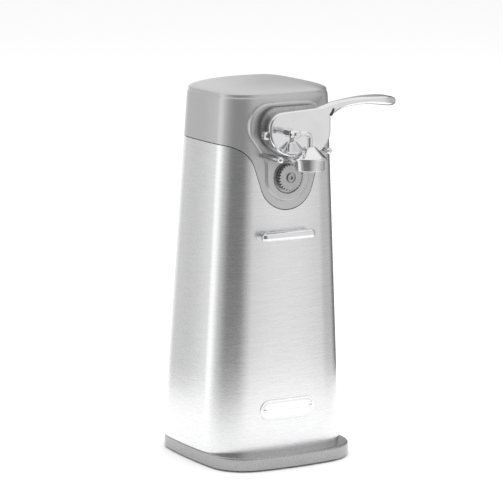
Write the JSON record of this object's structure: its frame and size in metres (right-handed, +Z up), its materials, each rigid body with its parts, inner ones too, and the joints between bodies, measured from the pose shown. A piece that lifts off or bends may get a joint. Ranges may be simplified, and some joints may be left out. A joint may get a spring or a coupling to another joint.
{
  "type": "electric can opener",
  "caption": "Upright electric can opener: tapered brushed steel body on a plinth, silver head, chrome lever with magnet, toothed drive wheel and a bar for the can to rest on.",
  "frame": {"origin": "on the ground, under the middle of the plinth", "axes": "+Z up; -Y out of the front, towards the user; +X to the right as seen from the front, where the lever's handle points"},
  "size_m": [0.1398, 0.148, 0.278],
  "materials": {
    "base_grey": "satin grey moulding",
    "black_plastic": "moulded",
    "rubber": "moulded",
    "zinc_steel": "zinc plated",
    "brushed_steel": "brushed, horizontal grain",
    "chrome": "mirror polished",
    "badge": "polished, blank",
    "silver_paint": "satin silver paint on moulded plastic",
    "steel": "machined",
    "bronze": "sintered",
    "acetal": "moulded gear plastic",
    "iron": "stacked laminations",
    "copper": "enamelled wire under tape",
    "ferrite": "plated magnet"
  },
  "bodies": {
    "frame": {"base_plinth": "base_grey", "bottom_cover": "black_plastic", "foot_ring": "rubber", "cover_screws": "zinc_steel", "steel_sleeve": "brushed_steel", "can_rest_bar": "chrome", "bar_nuts": "zinc_steel", "badge_plate": "badge", "badge_rivets": "chrome", "cord_gland": "black_plastic", "top_housing": "silver_paint", "tie_rods": "zinc_steel", "guide_pin_left": "chrome", "guide_pin_right": "chrome", "front_gear_plate": "zinc_steel", "rear_gear_plate": "zinc_steel", "plate_spacers": "steel", "chassis_screws": "zinc_steel", "front_bushing": "bronze", "rear_bushing": "bronze", "second_gear_axle": "steel", "first_gear_axle": "steel", "stator_core": "iron", "stator_coil": "copper", "motor_front_bracket": "zinc_steel", "motor_rear_bracket": "zinc_steel", "motor_bushes": "bronze", "motor_bolts": "zinc_steel", "motor_nuts": "zinc_steel", "motor_spacers": "steel", "microswitch": "black_plastic"},
    "drive": {"drive_wheel": "steel", "wheel_screw": "zinc_steel", "drive_shaft": "steel", "drive_gear": "steel"},
    "second_gear": {"second_gear": "acetal"},
    "first_gear": {"first_gear": "acetal"},
    "motor_rotor": {"rotor": "iron", "motor_shaft": "steel", "motor_pinion": "steel", "cooling_fan": "black_plastic"},
    "lever": {"lever_arm": "chrome", "lever_carrier": "steel", "carrier_screws": "zinc_steel", "pivot_shaft": "steel", "switch_cam": "acetal", "cutter_screw": "zinc_steel"},
    "cutter": {"cutter_wheel": "steel"},
    "magnet": {"magnet_arm": "chrome", "magnet_cup": "chrome", "magnet_disc": "ferrite"},
    "plunger": {"switch_plunger": "acetal"}
  },
  "joints": [
    {"name": "second_gear_spin", "type": "hinge", "parent": "frame", "child": "second_gear", "pos_m": [-0.008, -0.0255, 0.18409], "axis": [0, 1, 0], "continuous": true},
    {"name": "drive_spin", "type": "hinge", "parent": "frame", "child": "drive", "pos_m": [0, -0.031, 0.21], "axis": [0, 1, 0], "continuous": true},
    {"name": "first_gear_spin", "type": "hinge", "parent": "frame", "child": "first_gear", "pos_m": [0.004, -0.0222, 0.16819], "axis": [0, 1, 0], "continuous": true},
    {"name": "motor_spin", "type": "hinge", "parent": "frame", "child": "motor_rotor", "pos_m": [0, 0, 0.15206], "axis": [0, 1, 0], "continuous": true},
    {"name": "lever_hinge", "type": "hinge", "parent": "frame", "child": "lever", "pos_m": [-0.0135, -0.0468, 0.246], "axis": [0, -1, 0], "range_deg": [0, 60]},
    {"name": "cutter_spin", "type": "hinge", "parent": "lever", "child": "cutter", "pos_m": [0.003, -0.0526, 0.229], "axis": [0, 1, 0], "continuous": true},
    {"name": "magnet_swing", "type": "hinge", "parent": "lever", "child": "magnet", "pos_m": [0.0022, -0.073, 0.2445], "axis": [-1, 0, 0], "range_deg": [-3, 75]},
    {"name": "switch_press", "type": "slide", "parent": "frame", "child": "plunger", "axis": [1, 0, 0], "range_m": [0, 0.0009], "stiffness_N_per_m": 300, "springref_m": -0.0005}
  ],
  "couplings": [
    {"joint": "drive_spin", "follows": "second_gear_spin", "ratio": -0.25},
    {"joint": "first_gear_spin", "follows": "second_gear_spin", "ratio": -4.5},
    {"joint": "motor_spin", "follows": "second_gear_spin", "ratio": 20.25}
  ]
}
